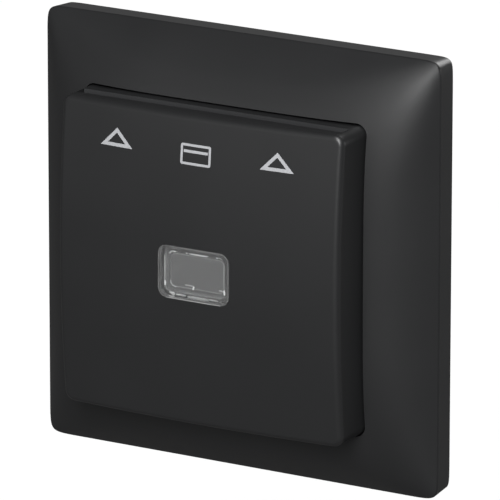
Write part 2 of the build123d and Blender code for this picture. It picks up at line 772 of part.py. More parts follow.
def coil(radius, wire, curls, length):
    """A compression spring along +Z from the origin, one tube on arcs, two to a quarter turn."""
    rise = (length - wire) / (curls * 4)
    corners = []
    for step in range(curls * 4 + 1):
        turn = math.radians(90 * step)
        place = Vector(radius * math.cos(turn), radius * math.sin(turn), wire / 2 + rise * step)
        run = Vector(-math.sin(turn), math.cos(turn), rise / (radius * math.pi / 2)).normalized()
        corners.append((place, run))
    with BuildLine() as path:
        for (first, leave), (last, arrive) in zip(corners, corners[1:]):
            chord = last - first
            both = leave + arrive
            spread = 1 - leave.dot(arrive)
            along = chord.dot(both)
            reach = (math.sqrt(along ** 2 + 2 * spread * chord.dot(chord)) - along) / (2 * spread)
            middle = (first + last + (leave - arrive) * reach) * 0.5
            through = (last - arrive * reach) - (first + leave * reach)
            TangentArc(first, middle, tangent=leave)
            TangentArc(middle, last, tangent=through.normalized())
    with BuildPart() as spring:
        with BuildSketch(Plane(origin=corners[0][0], z_dir=corners[0][1])):
            Circle(wire / 2)
        sweep(path=path.wire())
    print("least gap between curls", round(4 * rise - wire, 3), "mm")
    return spring.part


# Springs behind the plunger's head and behind the contact arm
well_seat = well_floor - lid_wall
plunger_spring = coil(plunger_coil_radius, plunger_wire, plunger_curls, head_back + well_seat - 2 * thin_gap)
spring_seat = Plane(origin=(0, well_seat - thin_gap, plunger_z), x_dir=(1, 0, 0), z_dir=(0, -1, 0))
plunger_spring = spring_seat * plunger_spring
plunger_spring.label = "plunger_spring"
export_step(plunger_spring, "parts/plunger_spring.step")
contact_spring = coil(contact_coil_radius, contact_wire, contact_curls, rear_inside - arm_back - 2 * thin_gap)
contact_spring = Plane(origin=(0, rear_inside - thin_gap, -contact_coil_height), x_dir=(1, 0, 0),
                       z_dir=(0, -1, 0)) * contact_spring
contact_spring.label = "contact_spring"
export_step(contact_spring, "parts/contact_spring.step")

# Contact arm with its silver contact
arm_y = (arm_front + arm_back) / 2
with BuildPart() as contact_arm:
    with BuildSketch(at(-arm_back)):
        with Locations((0, arm_pivot_height)):
            Rectangle(arm_width, arm_pivot_height - plunger_z + contact_radius, align=(Align.CENTER, Align.MAX))
    extrude(amount=arm_thick)
    fillet(contact_arm.edges().filter_by(Axis.Y).group_by(Axis.Z)[0], arm_width / 3)
    with BuildSketch(Plane.YZ.offset(-arm_width / 2)):
        with Locations((arm_y, arm_pivot_height)):
            Circle(arm_pin + arm_thick)
    extrude(amount=arm_width)
    with BuildSketch(Plane.YZ.offset(-arm_width / 2)):
        with Locations((arm_y, arm_pivot_height)):
            Circle(arm_pin + lever_pin_play)
    extrude(amount=arm_width, mode=Mode.SUBTRACT)
contact_arm.part.label = "contact_arm"
export_step(contact_arm.part, "parts/contact_arm.step")

with BuildPart() as moving_contact:
    with BuildSketch(at(-arm_back)):
        with Locations((0, plunger_z)):
            Circle(contact_radius)
    extrude(amount=-contact_thick)
    fillet(moving_contact.faces().sort_by(Axis.Y)[-1].edges(), contact_thick / 2)
moving_contact.part.label = "moving_contact"
export_step(moving_contact.part, "parts/moving_contact.step")

with BuildPart() as fixed_contact:
    with BuildSketch(at(-contact_front)):
        with Locations((0, plunger_z)):
            Circle(contact_radius)
    extrude(amount=-contact_thick)
    fillet(fixed_contact.faces().sort_by(Axis.Y)[0].edges(), contact_thick / 2)
fixed_contact.part.label = "fixed_contact"
export_step(fixed_contact.part, "parts/fixed_contact.step")

# Brass terminals: a bar over the wires, a strip down the rear wall, and what the strip carries
ear_reach = arm_width / 2 + moving_gap + ear_thick


def terminal(side, low, foot_to, foot_low, foot_high):
    with BuildPart() as brass:
        with BuildSketch(Plane.XY.offset(terminal_height)):
            with Locations((side * strip_across, terminal_front)):
                Rectangle(wire_pair + 2 * terminal_margin, rear_inside - terminal_front, align=(Align.CENTER, Align.MIN))
        extrude(amount=strip_thick)
        with BuildSketch(at(-rear_inside)):
            with Locations((side * strip_across, terminal_height)):
                Rectangle(strip_width, terminal_height - low, align=(Align.CENTER, Align.MAX))
            with Locations((side * (strip_across + strip_width / 2), foot_low)):
                Rectangle(strip_across + strip_width / 2 + foot_to, foot_high - foot_low,
                          align=(Align.MAX if side > 0 else Align.MIN, Align.MIN))
        extrude(amount=strip_thick)
    return brass.part


terminal_load = terminal(-1, plunger_z - strip_foot / 2, strip_foot / 2, plunger_z - strip_foot / 2,
                         plunger_z + strip_foot / 2)
terminal_load.label = "terminal_load"
export_step(terminal_load, "parts/terminal_load.step")

bracket_low = arm_pivot_height - bracket_height / 2
with BuildPart() as terminal_live:
    add(terminal(1, bracket_low, ear_reach, bracket_low, bracket_low + bracket_height))
    for side in (-1, 1):
        with BuildSketch(Plane.YZ.offset(side * (ear_reach - ear_thick))):
            with BuildLine():
                Polyline((rear_inside - strip_thick / 2, arm_pivot_height - ear_height / 2),
                         (rear_inside - strip_thick / 2, arm_pivot_height + ear_height / 2),
                         (arm_y, arm_pivot_height + ear_height / 2), (arm_y, arm_pivot_height - ear_height / 2),
                         close=True)
            make_face()
            with Locations((arm_y, arm_pivot_height)):
                Circle(ear_height / 2)
                Circle(arm_pin, mode=Mode.SUBTRACT)
        extrude(amount=side * ear_thick)
terminal_live.part.label = "terminal_live"
export_step(terminal_live.part, "parts/terminal_live.step")

with BuildPart() as arm_pin_piece:
    with BuildSketch(Plane.YZ.offset(-ear_reach)):
        with Locations((arm_y, arm_pivot_height)):
            Circle(arm_pin)
    extrude(amount=2 * ear_reach)
arm_pin_piece.part.label = "arm_pin"
export_step(arm_pin_piece.part, "parts/arm_pin.step")

# Bent leaf springs that clamp the wires against the terminal bars
with BuildPart() as wire_clamps:
    for side in (-1, 1):
        for step in (-1, 1):
            with BuildSketch(Plane.YZ.offset(side * strip_across + step * wire_pair / 2 - clamp_width / 2)):
                with BuildLine():
                    FilletPolyline((clamp_end, terminal_height - clamp_thick / 2),
                                   (clamp_front, terminal_height - clamp_thick / 2),
                                   (clamp_end, clamp_end_height), radius=clamp_bend)
                trace(line_width=clamp_thick)
            extrude(amount=clamp_width)
wire_clamps.part.label = "wire_clamps"
export_step(wire_clamps.part, "parts/wire_clamps.step")

# Release levers on the back, each a bar with two prongs that press the clamps open
prong_front = clamp_end + clamp_thick + moving_gap + release_travel
for side, name in ((-1, "release_lever_left"), (1, "release_lever_right")):
    with BuildPart() as release_lever:
        with BuildSketch(at(-base_depth - release_stand)):
            with Locations((side * strip_across, release_height)):
                RectangleRounded(wire_pair + release_prong_width, release_prong_thick, release_prong_thick / 4)
        extrude(amount=-release_bar)
        with BuildSketch(at(-base_depth - release_stand)):
            for step in (-1, 1):
                with Locations((side * strip_across + step * wire_pair / 2, release_height)):
                    Rectangle(release_prong_width, release_prong_thick)
        extrude(amount=base_depth + release_stand - prong_front)
    release_lever.part.label = name
    export_step(release_lever.part, "parts/" + name + ".step")

# Lamp and its foot, plugged into the lid behind the lens
with BuildPart() as lamp:
    with BuildSketch(at(lamp_foot_depth)):
        with Locations((0, lens_z)):
            Circle(lamp_radius + lamp_rim)
    extrude(amount=lamp_rim_length)
    with BuildSketch(at(lamp_foot_depth)):
        with Locations((0, lens_z)):
            Circle(lamp_radius)
    extrude(amount=lamp_depth - lamp_foot_depth)
    fillet(lamp.faces().sort_by(Axis.Y)[0].edges(), lamp_radius - thin_gap)
lamp.part.label = "lamp"
export_step(lamp.part, "parts/lamp.step")

with BuildPart() as lamp_foot:
    with BuildSketch(at(lid_front - lid_wall)):
        with Locations((0, lens_z)):
            Rectangle(lamp_foot_width, lamp_foot_height)
    extrude(amount=lamp_foot_depth - lid_front + lid_wall)
    with BuildSketch(at(lid_front - lid_wall)):
        with Locations((0, lens_z)):
            Rectangle(lamp_foot_width + 2 * lamp_foot_flange, lamp_foot_height + 2 * lamp_foot_flange)
    extrude(amount=-lamp_foot_flange)
lamp_foot.part.label = "lamp_foot"
export_step(lamp_foot.part, "parts/lamp_foot.step")

with BuildPart() as lamp_pins:
    with BuildSketch(at(lid_front - lid_wall - lamp_foot_flange)):
        with Locations((-lamp_foot_width / 4, lens_z), (lamp_foot_width / 4, lens_z)):
            Rectangle(lamp_pin, lamp_pin)
    extrude(amount=-lamp_pin_length)
lamp_pins.part.label = "lamp_pins"
export_step(lamp_pins.part, "parts/lamp_pins.step")

# Claws and the screws that pull them
seat_depth = ring_thick + thin_gap / 2 + claw_seat_radius
for side, hand in ((-1, "left"), (1, "right")):
    x = side * claw_across
    with BuildPart() as claw_screw:
        with Locations((x, -seat_depth, 0)):
            Sphere(claw_seat_radius)
        split(bisect_by=at(seat_depth), keep=Keep.BOTTOM)
        with BuildSketch(at(seat_depth)):
            with Locations((x, 0)):
                Circle(claw_seat_radius)
        extrude(amount=claw_head)
        with BuildSketch(at(seat_depth)):
            with Locations((x, 0)):
                Circle(claw_shank)
        extrude(amount=-(seat_depth + claw_screw_end))
        chamfer(claw_screw.faces().sort_by(Axis.Y)[-1].edges(), claw_shank / 3)
        with BuildSketch(at(seat_depth + claw_head)):
            with Locations((x, 0)):
                Rectangle(claw_drive, 2 * claw_seat_radius)
        extrude(amount=-claw_drive, mode=Mode.SUBTRACT)
    claw_screw.part.label = "claw_screw_" + hand
    export_step(claw_screw.part, "parts/claw_screw_" + hand + ".step")
    inner = half_wide + 2 * moving_gap
    with BuildPart() as claw:
        with BuildSketch(at(-claw_plate_depth)):
            with BuildLine():
                Polyline((side * inner, -claw_height / 2), (side * (claw_outside - claw_prong), -claw_height / 2),
                         (side * claw_outside, -claw_notch), (side * (claw_outside - claw_prong), 0),
                         (side * claw_outside, claw_notch), (side * (claw_outside - claw_prong), claw_height / 2),
                         (side * inner, claw_height / 2), close=True)
            make_face()
        extrude(amount=-claw_plate)
        with BuildSketch(at(-claw_plate_depth)):
            with Locations((x, 0)):
                Circle(claw_boss)
        extrude(amount=-(claw_plate + claw_boss_length))
        with BuildSketch(at(-claw_plate_depth)):
            with Locations((x, 0)):
                Circle(claw_shank + claw_thread_play)
        extrude(amount=-(claw_plate + claw_boss_length), mode=Mode.SUBTRACT)
    claw.part.label = "claw_" + hand
    export_step(claw.part, "parts/claw_" + hand + ".step")
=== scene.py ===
"""The finished look of a hotel key card switch: satin black cover and frame, clear lens over a
dark plate, printed marks, and the steel, brass and thermoset of the insert behind them."""

import math

import bmesh
import bpy
from mathutils import Matrix, Vector
from mathutils.bvhtree import BVHTree


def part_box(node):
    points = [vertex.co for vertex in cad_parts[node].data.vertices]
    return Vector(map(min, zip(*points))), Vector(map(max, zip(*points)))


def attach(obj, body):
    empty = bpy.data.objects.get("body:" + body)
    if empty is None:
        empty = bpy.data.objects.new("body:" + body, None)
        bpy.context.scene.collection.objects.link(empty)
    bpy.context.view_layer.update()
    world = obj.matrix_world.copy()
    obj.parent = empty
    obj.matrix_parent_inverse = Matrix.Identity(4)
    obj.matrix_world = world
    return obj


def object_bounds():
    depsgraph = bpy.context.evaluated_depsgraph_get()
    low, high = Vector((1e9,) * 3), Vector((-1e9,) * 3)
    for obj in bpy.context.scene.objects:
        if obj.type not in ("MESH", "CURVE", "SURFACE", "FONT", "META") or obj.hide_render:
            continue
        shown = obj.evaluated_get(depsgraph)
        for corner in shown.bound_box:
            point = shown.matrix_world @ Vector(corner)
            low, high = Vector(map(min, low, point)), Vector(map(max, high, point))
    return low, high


bl_info = {
    "name": "Hotel key card switch",
    "version": (1, 0, 0),
    "blender": (4, 5, 0),
    "location": "View3D > Sidebar > Card Switch",
    "description": "Dresses the card switch's frame in plastic, metal and print",
    "category": "Object",
}

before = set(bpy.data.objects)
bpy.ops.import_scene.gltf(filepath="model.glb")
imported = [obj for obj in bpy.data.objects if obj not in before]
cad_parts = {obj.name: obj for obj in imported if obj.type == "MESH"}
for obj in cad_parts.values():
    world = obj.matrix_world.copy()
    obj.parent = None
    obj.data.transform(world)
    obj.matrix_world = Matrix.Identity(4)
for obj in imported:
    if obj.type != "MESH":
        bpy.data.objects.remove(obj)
CAD_LOW, CAD_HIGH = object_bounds()
LENS_LOW, LENS_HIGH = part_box("lens")
PLATE_LOW, PLATE_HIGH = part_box("lens_plate")
MAIN_BODY = "switch"
MM = 0.001

# Each lamp: name, azimuth to the right of the front, elevation, distance, width, height and radiance
LAMPS = (
    ("key", 25.0, 37.5, 1.6, 0.71, 1.49, 9.9),
    ("front", 0.0, 0.0, 1.6, 2.45, 0.71, 0.72),
    ("front_high", -12.5, 25.0, 1.6, 1.49, 0.71, 0.25),
    ("left", -62.5, 0.0, 1.6, 1.49, 0.71, 0.15),
    ("left_high", -75.0, 25.0, 1.6, 0.71, 0.71, 0.31),
    ("right_back", 130.0, 0.0, 1.6, 0.71, 0.71, 2.1),
    ("back", 170.0, 30.0, 1.6, 1.1, 1.0, 3.6),
    ("back_left", -150.0, 20.0, 1.5, 1.0, 1.0, 0.13),
)
FLOOR_SIZE = 2.0
SENSOR_WIDTH = 36.0
CAMERA_NEAR, CAMERA_FAR = 0.05, 20.0

# Sizes of the finer detail of the finishes, in metres
CLOUD_SIZE = 0.018
FLOW_SIZE = 0.006
SWIRL_SIZE = 0.004
STREAK_SIZE = 0.0012
PATCH_SIZE = 0.0072
INK_MESH_SIZE = 0.00025
POLISH_DEPTH = 0.000004
INK_DEPTH = 0.000002
PITS_PER_GRAIN = 1.6

# A thin plate over the card slot's back wall near its mouth, its colour painted lighter than the cover as
# painted light where the cover's lip shades the wall: low and high corners, and the bevel of its edges, in
# millimetres
SLOT_WALL = ((-27.2, -14.62, 27.3), (27.2, -14.5, 28.82))
SLOT_WALL_BEVEL = 0.02

# Painted highlights and reflections of the clear moulding: beads along its edges and steps whose light
# colours
# stand in for its glints. Columns: name, tone, depth of its front from the wall, thickness, width, and the
# points it runs through, all in millimetres. Three points are the ends and the corner of a bend
LENS_PAINTED_HIGHLIGHTS = (
    ("wall_left", "mid", 21.25, 0.07, 0.2, ((-6.25, 2.5), (-6.25, -2.15))),
    ("wall_left_low", "dim", 21.25, 0.07, 0.18, ((-6.25, -3.0), (-6.15, -3.95), (-4.9, -3.98))),
    ("wall_left_glint", "bright", 21.25, 0.07, 0.36, ((-6.17, -2.15), (-6.17, -3.05))),
    ("wall_right", "dim", 21.25, 0.07, 0.26, ((5.95, 2.6), (5.95, -2.3))),
    ("wall_right_glint", "bright", 21.25, 0.07, 0.34, ((5.98, -2.25), (6.08, -3.2))),
    ("field_bend", "mid", 20.38, 0.07, 0.26, ((-5.53, -2.2), (-5.53, -3.3), (-4.3, -3.3))),
    ("step_middle", "mid", 20.38, 0.07, 0.2, ((-2.6, -2.7), (-0.75, -2.7))),
    ("step_middle_end", "bright", 20.38, 0.07, 0.28, ((-0.72, -2.75), (-0.92, -3.4))),
    ("step_right", "mid", 20.38, 0.07, 0.2, ((4.4, -2.75), (5.2, -2.72))),
    ("top_bend", "bright", 20.22, 0.48, 0.34, ((-5.85, 2.6), (-5.75, 3.2), (-4.45, 3.14))),
    ("top_hook", "bright", 20.22, 0.48, 0.5, ((-2.5, 3.24), (-2.2, 3.14))),
    ("top_middle", "bright", 20.22, 0.48, 0.46, ((-1.8, 3.12), (1.9, 3.12))),
    ("top_right", "bright", 20.22, 0.48, 0.42, ((3.75, 3.16), (4.05, 3.16))),
    ("top_right_bend", "bright", 20.22, 0.48, 0.34, ((4.35, 3.2), (5.2, 3.2), (5.65, 2.45))),
    ("foot_glint", "bright", 18.95, 0.12, 0.7, ((-6.05, -4.5), (-5.05, -5.05))),
    ("foot_left", "bright", 18.95, 0.12, 0.34, ((-4.75, -4.9), (-2.75, -4.95))),
    ("foot_middle", "bright", 18.95, 0.12, 0.52, ((-2.3, -5.05), (1.97, -5.05))),
    ("foot_right", "bright", 18.95, 0.12, 0.32, ((2.05, -4.95), (3.95, -4.95))),
    ("foot_right_end", "mid", 18.95, 0.12, 0.34, ((4.25, -5.0), (4.7, -5.0))),
    ("edge_low", "mid", 22.37, 0.1, 0.18, ((-5.6, -5.04), (5.6, -5.04))),
)
# Painted highlight lines that run all round the lens and its plate, as beads in the dim painted highlight
# colour, in millimetres:
# name, the node's low and high corners, how far in from its sides, corner radius, how far before its front,
# and width
PAINTED_EDGE_HIGHLIGHTS = (
    ("lens_edge_painted_highlight", LENS_LOW, LENS_HIGH, 1.1, 1.8, -0.03, 0.14),
    ("plate_edge_painted_highlight", PLATE_LOW, PLATE_HIGH, 0.7, 1.3, 0.035, 0.16),
)
EDGE_THICK = 0.07
# The seal's outlines in turn, in millimetres: half width, half height, corner radius, and how far
# behind the lens
SEAL_OUTLINES = ((8.0, 5.5, 2.2, 0.35), (8.0, 5.5, 2.2, 0.2), (6.0, 3.55, 1.3, 0.2), (6.0, 3.55, 1.3, 0.35))
BEAD_SIDES = 8
BEAD_END_SHARE = 0.7
LINE_STEPS = 4
BEND_STEPS = 10
LENS_CORNER_STEPS = 8

# The print's finer proportions: its corners in metres, and the rest as shares of the stroke or of
# the card sign's half height
ARROW_CORNER = 0.00005
INNER_CORNER_SHARE = 0.3
CARD_LINE_SHARE = 0.7
STRIPE_HALF_SHARE = 0.4
STRIPE_LEVEL_SHARE = 0.28
PRINT_CORNER_STEPS = 4
PRINT_SIDE_STEPS = 10
STRIPE_STEPS = 8
RAY_START = 0.01


class Socket:
    """A node's output that takes part in sums: socket * 2 + other adds the Math nodes."""

    def __init__(self, nodes, output):
        self.nodes = nodes
        self.output = output

    def math(self, operation, first, second, clamp=False):
        settings = {"operation": operation, "use_clamp": clamp}
        return self.nodes.node("ShaderNodeMath", settings, {0: first, 1: second})

    def __add__(self, other):
        return self.math("ADD", self, other)

    def __radd__(self, other):
        return self.math("ADD", other, self)

    def __sub__(self, other):
        return self.math("SUBTRACT", self, other)

    def __rsub__(self, other):
        return self.math("SUBTRACT", other, self)

    def __mul__(self, other):
        return self.math("MULTIPLY", self, other)

    def __rmul__(self, other):
        return self.math("MULTIPLY", other, self)

    def between(self, low, high):
        """0 under low, 1 over high and a straight rise from one to the other."""
        return self.math("MULTIPLY", self - low, 1 / (high - low), clamp=True)

    def larger(self, other):
        return self.math("MAXIMUM", self, other)


class Nodes:
    """The node tree of a material or a world, under construction."""

    def __init__(self, owner, output_kind):
        owner.use_nodes = True
        self.tree = owner.node_tree
        self.tree.nodes.clear()
        self.output_kind = output_kind

    def node(self, kind, settings=(), numbered=(), out=0, **named):
        """One node: its settings are set first, then its sockets by number or by name."""
        made = self.tree.nodes.new(kind)
        for name, value in dict(settings).items():
            setattr(made, name, value)
        sockets = {**dict(numbered), **{name.replace("_", " "): value for name, value in named.items()}}
        for socket, value in sockets.items():
            if isinstance(value, Socket):
                self.tree.links.new(value.output, made.inputs[socket])
            else:
                made.inputs[socket].default_value = value
        return Socket(self, made.outputs[out]) if made.outputs else None

    def mix(self, share, first, second):
        """A colour between two others."""
        return self.node("ShaderNodeMix", {"data_type": "RGBA"}, {0: share, 6: first, 7: second}, out=2)

    def mix_shaders(self, share, first, second):
        return self.node("ShaderNodeMixShader", (), {0: share, 1: first, 2: second})

    def show(self, shader):
        self.node(self.output_kind, Surface=shader)

    def background_share(self, mirror_share):
        """1 for what the camera sees directly or through clear pieces, and a share of it for mirrors."""
        camera, through, mirrored = (self.node("ShaderNodeLightPath", out=kind) for kind in
                                     ("Is Camera Ray", "Is Transmission Ray", "Is Glossy Ray"))
        return camera.larger(through).larger(mirrored * mirror_share)


class Finish(Nodes):
    """A material under construction."""

    def __init__(self, name):
        self.material = bpy.data.materials.new(name)
        super().__init__(self.material, "ShaderNodeOutputMaterial")

    def noise(self, size, detail, stretch=None):
        """Soft noise whose grains are about this many metres across."""
        at = self.node("ShaderNodeTexCoord", out="Object")
        if stretch:
            at = self.node("ShaderNodeMapping", Vector=at, Scale=stretch)
        return self.node("ShaderNodeTexNoise", Vector=at, Scale=1 / size, Detail=detail)

    def bump(self, height, depth):
        """A Bump node whose heights are this many metres deep."""
        return self.node("ShaderNodeBump", Height=height, Distance=depth)

    def surface(self, **sockets):
        """Ends the material with its shader, and gives it back."""
        self.show(self.node("ShaderNodeBsdfPrincipled", **sockets))
        return self.material


def shade(color, factor):
    return (color[0] * factor, color[1] * factor, color[2] * factor, 1.0)


def grey(level):
    return (level, level, level, 1.0)


class PlasticSettings(bpy.types.PropertyGroup):
    """Colours and grain of the moulded plastics."""

    black: bpy.props.FloatVectorProperty(
        name="Cover black", description="Colour of the cover and the frame",
        default=(0.0184, 0.0188, 0.0196), size=3, subtype="COLOR", min=0, max=1)
    black_roughness: bpy.props.FloatProperty(
        name="Cover roughness", description="How matt the cover and the frame are",
        default=0.36, min=0, max=1, subtype="FACTOR")
    inner_matt: bpy.props.FloatProperty(
        name="Inner roughness", description="How much more matt the pocket's inside is than the cover",
        default=0.1, min=0, max=0.6, subtype="FACTOR")
    # Painted light: the slot wall plate's colour is the cover's black made lighter by this factor
    slot_wall_painted_light: bpy.props.FloatProperty(
        name="Slot wall tone", description="How many times lighter the slot's back wall is than the cover",
        default=2.1, min=0)
    grain_size: bpy.props.FloatProperty(
        name="Grain size", description="Width of the spark-eroded grain",
        default=0.00012, min=0.00001, max=0.001, unit="LENGTH")
    grain_depth: bpy.props.FloatProperty(
        name="Grain depth", description="Depth of the spark-eroded grain",
        default=0.0000025, min=0, max=0.0001, unit="LENGTH")
    base_grey: bpy.props.FloatVectorProperty(
        name="Base grey", description="Colour of the switch base",
        default=(0.33, 0.335, 0.34), size=3, subtype="COLOR", min=0, max=1)
    lid_white: bpy.props.FloatVectorProperty(
        name="Lid white", description="Colour of the base's front lid",
        default=(0.62, 0.61, 0.58), size=3, subtype="COLOR", min=0, max=1)
    acetal: bpy.props.FloatVectorProperty(
        name="Acetal", description="Colour of the lever and the plunger",
        default=(0.7, 0.7, 0.67), size=3, subtype="COLOR", min=0, max=1)
    release_shade: bpy.props.FloatProperty(
        name="Release lever shade", description="The release levers' tone as a share of the base's grey",
        default=0.6, min=0, max=1, subtype="FACTOR")
    lens_clear: bpy.props.FloatProperty(
        name="Lens clearness", description="How much of the light goes straight through the lens's plastic",
        default=0.945, min=0, max=1, subtype="FACTOR")
    plate: bpy.props.FloatVectorProperty(
        name="Lens plate", description="Colour of the plate and the diffuser behind the lens",
        default=(0.012, 0.012, 0.012), size=3, subtype="COLOR", min=0, max=1)
    # These three colours are painted highlights: the light colours of the beads that stand in for the clear
    # moulding's glints and reflections
    painted_highlight_bright: bpy.props.FloatVectorProperty(
        name="Bright marks", description="Colour of the brightest edges of the clear moulding",
        default=(0.9, 0.9, 0.9), size=3, subtype="COLOR", min=0, max=1)
    painted_highlight_mid: bpy.props.FloatVectorProperty(
        name="Middle marks", description="Colour of the edges that shine less",
        default=(0.45, 0.45, 0.45), size=3, subtype="COLOR", min=0, max=1)
    painted_highlight_dim: bpy.props.FloatVectorProperty(
        name="Dim marks", description="Colour of the faintest edges",
        default=(0.17, 0.17, 0.17), size=3, subtype="COLOR", min=0, max=1)
    seal: bpy.props.FloatVectorProperty(
        name="Seal", description="Colour of the seal behind the lens's rim",
        default=(0.07, 0.07, 0.07), size=3, subtype="COLOR", min=0, max=1)


class MetalSettings(bpy.types.PropertyGroup):
    """Colours of the metal pieces."""

    zinc: bpy.props.FloatVectorProperty(
        name="Zinc", description="Colour of the zinc-plated ring, claws and screws",
        default=(0.56, 0.57, 0.59), size=3, subtype="COLOR", min=0, max=1)
    spring: bpy.props.FloatVectorProperty(
        name="Spring steel", description="Colour of the springs and pins",
        default=(0.42, 0.42, 0.43), size=3, subtype="COLOR", min=0, max=1)
    brass: bpy.props.FloatVectorProperty(
        name="Brass", description="Colour of the terminals",
        default=(0.72, 0.5, 0.22), size=3, subtype="COLOR", min=0, max=1)
    silver: bpy.props.FloatVectorProperty(
        name="Silver", description="Colour of the contact rivets",
        default=(0.86, 0.85, 0.83), size=3, subtype="COLOR", min=0, max=1)


class PrintSettings(bpy.types.PropertyGroup):
    """The marks printed on the cover's front."""

    ink: bpy.props.FloatVectorProperty(
        name="Ink", description="Colour of the printed marks",
        default=(0.5, 0.505, 0.525), size=3, subtype="COLOR", min=0, max=1)
    thickness: bpy.props.FloatProperty(
        name="Ink thickness", description="How far the ink stands proud of the cover",
        default=0.00002, min=0, unit="LENGTH")
    stroke: bpy.props.FloatProperty(
        name="Stroke", description="Width of the printed lines",
        default=0.00063, min=0, unit="LENGTH")
    arrow_width: bpy.props.FloatProperty(
        name="Arrow width", description="Width of each printed arrow",
        default=0.00675, min=0, unit="LENGTH")
    arrow_height: bpy.props.FloatProperty(
        name="Arrow height", description="Height of each printed arrow",
        default=0.00342, min=0, unit="LENGTH")
    arrow_across: bpy.props.FloatProperty(
        name="Arrow place", description="From the arrows' middle to each arrow",
        default=0.0165, unit="LENGTH")
    arrow_shift: bpy.props.FloatProperty(
        name="Arrow shift", description="How far the arrows' middle is to the right of the cover's",
        default=-0.00011, unit="LENGTH")
    arrow_foot: bpy.props.FloatProperty(
        name="Arrow foot", description="Level of the arrows' lower edge",
        default=0.02106, unit="LENGTH")
    card_width: bpy.props.FloatProperty(
        name="Card width", description="Width of the printed card sign",
        default=0.0062, min=0, unit="LENGTH")
    card_height: bpy.props.FloatProperty(
        name="Card height", description="Height of the printed card sign",
        default=0.0038, min=0, unit="LENGTH")
    card_level: bpy.props.FloatProperty(
        name="Card level", description="Level of the card sign's middle",
        default=0.02185, unit="LENGTH")


class StageSettings(bpy.types.PropertyGroup):
    """The camera, the floor and the room."""

    focal: bpy.props.FloatProperty(
        name="Lens", description="Focal length on a 36 mm sensor, in millimetres", default=527.38, min=1)
    azimuth: bpy.props.FloatProperty(
        name="Azimuth", description="How far right of the front the camera stands",
        default=math.radians(29.973), subtype="ANGLE")
    elevation: bpy.props.FloatProperty(
        name="Elevation", description="How far above the horizon the camera stands",
        default=math.radians(16.450), subtype="ANGLE")
    roll: bpy.props.FloatProperty(
        name="Roll", description="The camera's turn about its own line of sight",
        default=math.radians(0.0567), subtype="ANGLE")
    distance: bpy.props.FloatProperty(
        name="Distance", description="From the camera to the point it looks at",
        default=1.3255, unit="LENGTH")
    aim: bpy.props.FloatVectorProperty(
        name="Aim", description="The point the camera looks at",
        default=(-0.001154, 0.0, -0.001311), size=3, subtype="TRANSLATION", unit="LENGTH")
    floor_drop: bpy.props.FloatProperty(
        name="Floor drop", description="How far the floor lies under the object",
        default=0.06, unit="LENGTH")
    floor_lit: bpy.props.FloatProperty(
        name="Floor tone", description="The floor's own tone where the camera sees it",
        default=0.9, min=0, max=1, subtype="FACTOR")
    floor_glow: bpy.props.FloatProperty(
        name="Floor glow", description="Brightness of the white that is laid over the floor",
        default=1.1, min=0)
    floor_glow_share: bpy.props.FloatProperty(
        name="Floor glow share", description="How much of that white the floor shows over its shadows",
        default=0.82, min=0, max=1, subtype="FACTOR")
    floor_dull: bpy.props.FloatProperty(
        name="Floor bounce", description="The floor's tone for the light that it gives back",
        default=0.12, min=0, max=1, subtype="FACTOR")
    fill: bpy.props.FloatProperty(
        name="Fill", description="Brightness of the room round the object", default=0.01, min=0)
    mirror_share: bpy.props.FloatProperty(
        name="Mirrored white", description="How much of the white background mirrors show",
        default=0.015, min=0, max=1, subtype="FACTOR")


def black_plastic(settings, name, roughness, tone=1.0):
    """Spark-eroded black moulding plastic; a tone above 1 makes a lighter copy of the black, as painted
    light.
    """
    finish = Finish(name)
    grain = finish.noise(settings.grain_size, detail=3.0)
    cloud = finish.noise(CLOUD_SIZE, detail=1.0)
    darker, lighter = shade(settings.black, 0.96 * tone), shade(settings.black, 1.04 * tone)
    return finish.surface(
        Base_Color=finish.mix(cloud.between(0.35, 0.65), darker, lighter),
        Roughness=roughness + (cloud - 0.5) * 0.03 + (grain - 0.5) * 0.05,
        IOR=1.58,
        Normal=finish.bump(grain, settings.grain_depth),
    )


def moulded_plastic(settings, name, color, roughness):
    """A plain moulded plastic with faint flow marks."""
    finish = Finish(name)
    pits = finish.noise(settings.grain_size * PITS_PER_GRAIN, detail=2.0)
    flow = finish.noise(FLOW_SIZE, detail=3.0, stretch=(1.0, 1.0, 0.35))
    return finish.surface(
        Base_Color=finish.mix(flow.between(0.3, 0.7), shade(color, 0.94), shade(color, 1.03)),
        Roughness=roughness + (flow - 0.5) * 0.08,
        IOR=1.5,
        Normal=finish.bump(pits, settings.grain_depth),
    )


def plated_metal(name, color, roughness, streak=(1.0, 1.0, 1.0)):
    """Metal with rolling streaks and a slightly uneven polish."""
    finish = Finish(name)
    streaks = finish.noise(STREAK_SIZE, detail=4.0, stretch=streak)
    patches = finish.noise(PATCH_SIZE, detail=2.0)
    return finish.surface(
        Base_Color=finish.mix(patches.between(0.3, 0.7), shade(color, 0.9), shade(color, 1.05)),
        Metallic=1.0,
        Roughness=roughness + (streaks - 0.5) * 0.16 + (patches - 0.5) * 0.1,
        Normal=finish.bump(streaks, POLISH_DEPTH),
    )


def clear_plastic(name, roughness, clear=1.0):
    """Polished clear plastic, a little milky where it isn't quite clear."""
    finish = Finish(name)
    swirl = finish.noise(SWIRL_SIZE, detail=1.0)
    return finish.surface(
        Base_Color=(0.95, 0.96, 0.96, 1.0),
        Roughness=roughness + (swirl - 0.5) * 0.02,
        IOR=1.5,
        Transmission_Weight=clear,
        Normal=finish.bump(swirl, POLISH_DEPTH),
    )


def screen_ink(settings, name):
    """Screen-printed ink: matt, a little uneven where the mesh left it."""
    finish = Finish(name)
    mesh = finish.noise(INK_MESH_SIZE, detail=1.0)
    return finish.surface(
        Base_Color=finish.mix(mesh.between(0.3, 0.7), shade(settings.ink, 0.93), shade(settings.ink, 1.04)),
        Roughness=0.55 + (mesh - 0.5) * 0.1,
        Normal=finish.bump(mesh, INK_DEPTH),
    )


